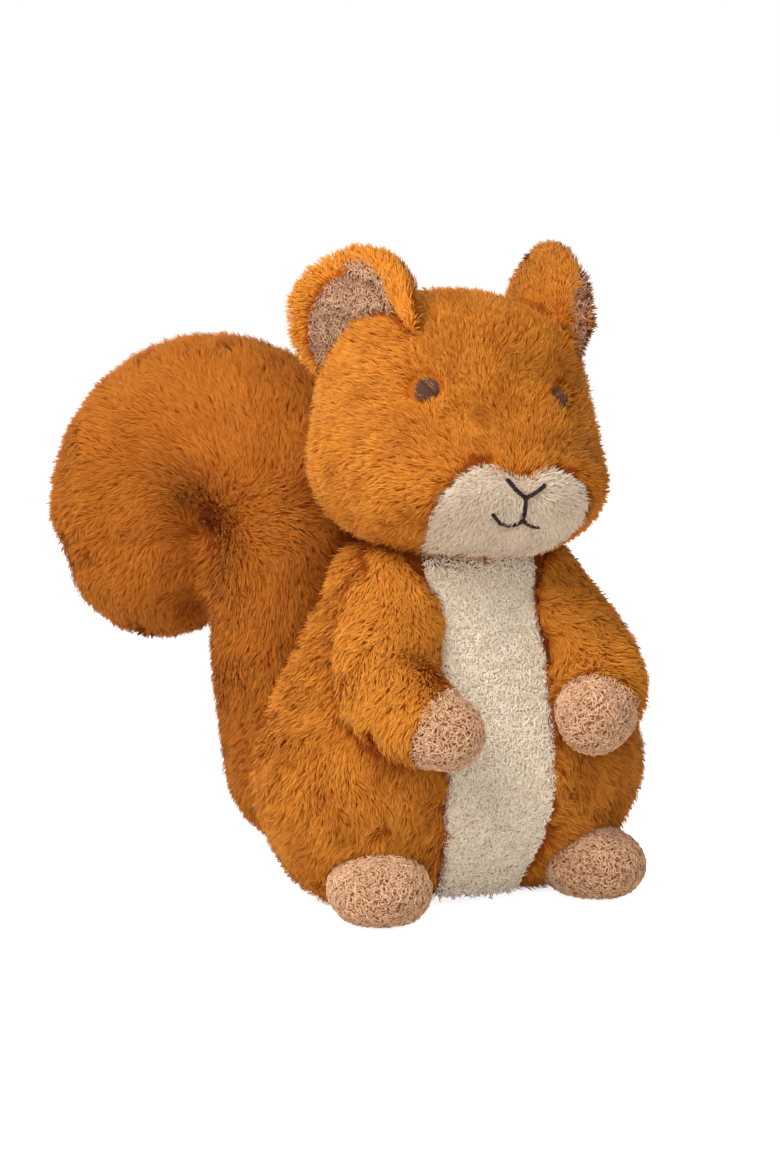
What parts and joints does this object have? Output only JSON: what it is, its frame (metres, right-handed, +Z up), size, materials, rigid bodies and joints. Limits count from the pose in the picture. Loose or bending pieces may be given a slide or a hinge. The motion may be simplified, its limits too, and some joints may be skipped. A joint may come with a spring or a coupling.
{
  "type": "plush squirrel",
  "caption": "Sitting stuffed squirrel in long caramel fur, with a cream belly and muzzle, terry paws and feet, cupped ears and a thick tail hooked over behind its back.",
  "frame": {"origin": "on the ground, in the middle of the flat seat under the torso", "axes": "+Z up, -Y the way the squirrel faces, +X towards its left"},
  "size_m": [0.1647, 0.2355, 0.2257],
  "materials": {
    "fur": "long soft pile, caramel",
    "cream_fur": "short soft pile, cream",
    "cream_terry": "curly terry loops, cream",
    "beige_terry": "curly terry loops, beige",
    "brown_thread": "satin stitch, brown",
    "black_thread": "embroidery thread, black-brown"
  },
  "bodies": {
    "root": {"torso": "fur", "belly_panel": "cream_terry", "head": "fur", "muzzle": "cream_fur", "right_eye": "brown_thread", "left_eye": "brown_thread", "face_stitch": "black_thread", "right_ear": "fur", "left_ear": "fur", "right_ear_lining": "beige_terry", "left_ear_lining": "beige_terry", "right_arm": "fur", "left_arm": "fur", "right_paw": "beige_terry", "left_paw": "beige_terry", "right_foot": "beige_terry", "left_foot": "beige_terry", "tail": "fur"}
  },
  "joints": []
}
